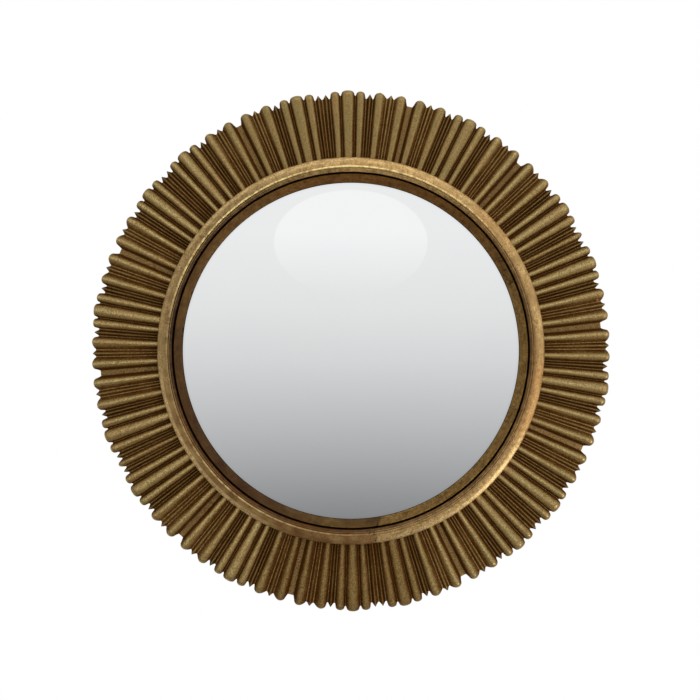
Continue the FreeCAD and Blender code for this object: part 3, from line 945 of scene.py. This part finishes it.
def crossBlade(centre, degrees):
    # one arm of the recess, tapered towards its floor
    turn = math.radians(degrees)
    along = Vector((math.cos(turn), 0, math.sin(turn))) * hanger["crossReach"]
    aside = Vector((-math.sin(turn), 0, math.cos(turn))) * hanger["crossWidth"] / 2
    top, floor = hanger["headHeight"] + 0.3, hanger["headHeight"] - hanger["crossDepth"]
    corners = []
    for rise, size in ((top, 1.1), (floor, 0.45)):
        for one, two in ((-1, -1), (1, -1), (1, 1), (-1, 1)):
            corners.append(centre + ((along * one + aside * two) * size + Vector((0, rise, 0))) * mm)
    sides = [(0, 4, 5, 1), (1, 5, 6, 2), (2, 6, 7, 3), (3, 7, 4, 0)]
    mesh = bpy.data.meshes.new("blade")
    mesh.from_pydata(corners, [], [(0, 1, 2, 3), (7, 6, 5, 4), *sides])
    return addObject("blade", mesh)


# putting it together

ring = finishPiece(makePleats(), "mirror", "gilt_ribs", "pleated_ring", gildedRibs())
print("pleated ring:", len(ring.data.vertices), "points")

finishPiece(makeBead(), "mirror", "gilt_bead", "bead_moulding", leafOn("beadLeaf", bead))
finishPiece(makeSlip(), "mirror", "gilt_slip", "inner_slip", leafOn("slipLeaf", slip))
finishPiece(makeGlass(), "mirror", "mirror_glass", "convex_glass", silvered(), backingPaint())
print("bead, slip and glass made")

brassy = platedSteel("platedSteel", tone(214, 190, 130), tone(190, 162, 100), tone(150, 128, 84))
zinc = platedSteel("zincSteel", tone(196, 196, 192), tone(160, 162, 162), tone(120, 118, 112))
carried = {
    "carrier_ring": fibreboard(), "back_board": hardboard(), "glass_blocks": softwood(),
    "glass_pads": foam(), "glass_tape": blackTape(), "board_points": zinc,
    "hanger_strap_left": brassy, "hanger_strap_right": brassy,
}
for name, material in carried.items():
    mesh = nodes[name].data
    mesh.materials.clear()
    mesh.materials.append(material)

for side in ("left", "right"):
    finishPiece(makeHangerRing(side), "ring_" + side, "plated_steel", "hanger_ring_" + side, brassy)

screwLow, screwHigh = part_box("hanger_screws")
seat = Vector((0, screwHigh.y - hanger["headHeight"] * mm, (screwLow.z + screwHigh.z) / 2))
inset = hanger["headRadius"] * mm
screws = []
for x, turnedBy in zip((screwLow.x + inset, screwHigh.x - inset), hanger["turns"]):
    screws.append(screwMesh(seat + Vector((x, 0, 0)), turnedBy))
with bpy.context.temp_override(active_object=screws[0], selected_editable_objects=screws):
    bpy.ops.object.join()
screws[0].name = "strapScrews"
finishPiece(screws[0], "mirror", "steel", "hanger_screws", zinc)
print("back and hangers made")


# the studio

studio = {
    "distance": 2.2,          # camera to the rim of the ribs
    "rimDepth": 0.033,
    "lens": 98.25,
    "sensor": 36.0,
    "shiftX": -0.00098,       # the photograph's centre lies this far from the mirror's axis
    "shiftZ": 0.00092,
    "floor": -1.25,
    "floorRadius": 4.0,
    "floorFrom": 2.8,         # metres from the middle between which the floor fades out
    "floorTo": 3.9,
    "floorTones": ((0.86, 0.86, 0.85, 1), (0.9, 0.9, 0.89, 1)),
    "fill": 0.42,
    # each lamp's power, place and size
    "lamps": {
        "key": (2.6, (0.25, -0.75, 1.25), (1.0, 0.5)),
        "sideLeft": (1.6, (-1.9, -1.2, 0.3), (0.8, 1.2)),
        "sideRight": (3.4, (1.9, -1.2, 0.3), (0.8, 1.2)),
        "low": (15.0, (1.6, -1.0, -1.2), (1.0, 1.0)),
        "backFill": (6.0, (0.4, 2.2, 1.2), (1.5, 1.5)),
    },
    # what the dome sees behind the camera: pale above, darker towards the floor
    "roomFrom": -0.62,
    "roomTo": 0.42,
    "room": ((0.0, (0.225, 0.225, 0.23, 1)), (0.11, (0.315, 0.32, 0.325, 1)),
             (0.225, (0.42, 0.425, 0.43, 1)), (0.34, (0.52, 0.525, 0.53, 1)),
             (0.56, (0.70, 0.705, 0.71, 1)), (0.74, (0.803, 0.807, 0.81, 1)),
             (1.0, (0.88, 0.885, 0.888, 1))),
    # a round soft lamp high up, which the dome shows as a faint ellipse
    "roundAt": (0.0, 0.0, 0.381),
    "roundShape": (3.67, 0.0, 5.5),
    "roundGlow": 0.075,
}


def makeCamera():
    data = bpy.data.cameras.new("camera")
    data.lens = studio["lens"]
    data.sensor_width = studio["sensor"]
    camera = addObject("camera", data)
    camera.location = (studio["shiftX"], -studio["distance"] - studio["rimDepth"], studio["shiftZ"])
    camera.rotation_euler = (math.pi / 2, 0, 0)
    bpy.context.scene.camera = camera


def makeLamp(name, power, spotAt, size):
    data = bpy.data.lights.new(name, "AREA")
    data.energy = power
    data.shape = "RECTANGLE"
    data.size, data.size_y = size
    lamp = addObject(name, data)
    lamp.location = spotAt
    lamp.rotation_euler = (-Vector(spotAt)).to_track_quat("-Z", "Y").to_euler()


def makeFloor():
    turns = [math.radians(degrees) for degrees in range(0, 360, 5)]
    reach = studio["floorRadius"]
    rim = [(reach * math.cos(turn), reach * math.sin(turn), studio["floor"]) for turn in turns]
    mesh = bpy.data.meshes.new("floor")
    mesh.from_pydata(rim, [], [list(range(len(rim)))])
    floor = addObject("floor", mesh)
    material, tree, shader = freshMaterial("paleFloor", 0.85)
    coords = place(tree)
    plug(tree, mixed(tree, speckle(tree, coords, 0.3, 4), *studio["floorTones"]), shader, "Base Color")
    # the floor fades out towards its rim
    away = put(tree, "VectorMath", {0: coords}, operation="LENGTH").outputs["Value"]
    fade = spread(tree, away, studio["floorFrom"], studio["floorTo"])
    clear = put(tree, "BsdfTransparent")
    surface = put(tree, "MixShader", {0: fade, 1: shader.outputs[0], 2: clear.outputs[0]}).outputs[0]
    tree.links.new(surface, tree.nodes["Material Output"].inputs["Surface"])
    floor.data.materials.append(material)
    floor.visible_glossy = False      # the mirror shows the studio's own tones instead


def makeWorld():
    world = bpy.data.worlds.new("studioWorld")
    bpy.context.scene.world = world
    world.use_nodes = True
    tree = world.node_tree
    direction = put(tree, "TexCoord").outputs["Generated"]
    parts = put(tree, "SeparateXYZ", {0: direction}).outputs
    room = stops(tree, spread(tree, parts[2], studio["roomFrom"], studio["roomTo"]), *studio["room"])
    away = put(tree, "VectorMath", {0: direction, 1: studio["roundAt"]}, operation="SUBTRACT").outputs[0]
    away = put(tree, "VectorMath", {0: away, 1: studio["roundShape"]}, operation="MULTIPLY").outputs[0]
    away = put(tree, "VectorMath", {0: away}, operation="LENGTH").outputs["Value"]
    glow = times(tree, spread(tree, away, 0.99, 1.01, 1.0, 0.0),
                 spread(tree, parts[2], 0.2, 0.42, 0, studio["roundGlow"]))
    glow = put(tree, "CombineColor", {0: glow, 1: glow, 2: glow}).outputs[0]
    behind = mixed(tree, 1.0, room, glow, "ADD")
    seen = mixed(tree, spread(tree, parts[1], -0.1, 0.3), behind, (1, 1, 1, 1))
    path = put(tree, "LightPath").outputs
    seen = mixed(tree, path["Is Camera Ray"], seen, (1, 1, 1, 1))
    shown = sums(tree, "MAXIMUM", sums(tree, "MAXIMUM", path["Is Camera Ray"], path["Is Glossy Ray"]),
                 path["Is Transmission Ray"])
    fill = put(tree, "Background", {"Color": room, "Strength": studio["fill"]}).outputs[0]
    view = put(tree, "Background", {"Color": seen, "Strength": 1.0}).outputs[0]
    surface = put(tree, "MixShader", {0: shown, 1: fill, 2: view}).outputs[0]
    tree.links.new(surface, tree.nodes["World Output"].inputs["Surface"])


makeCamera()
for name, settings in studio["lamps"].items():
    makeLamp(name, *settings)
makeFloor()
makeWorld()
bpy.context.scene.view_settings.view_transform = "Standard"
print("studio made")
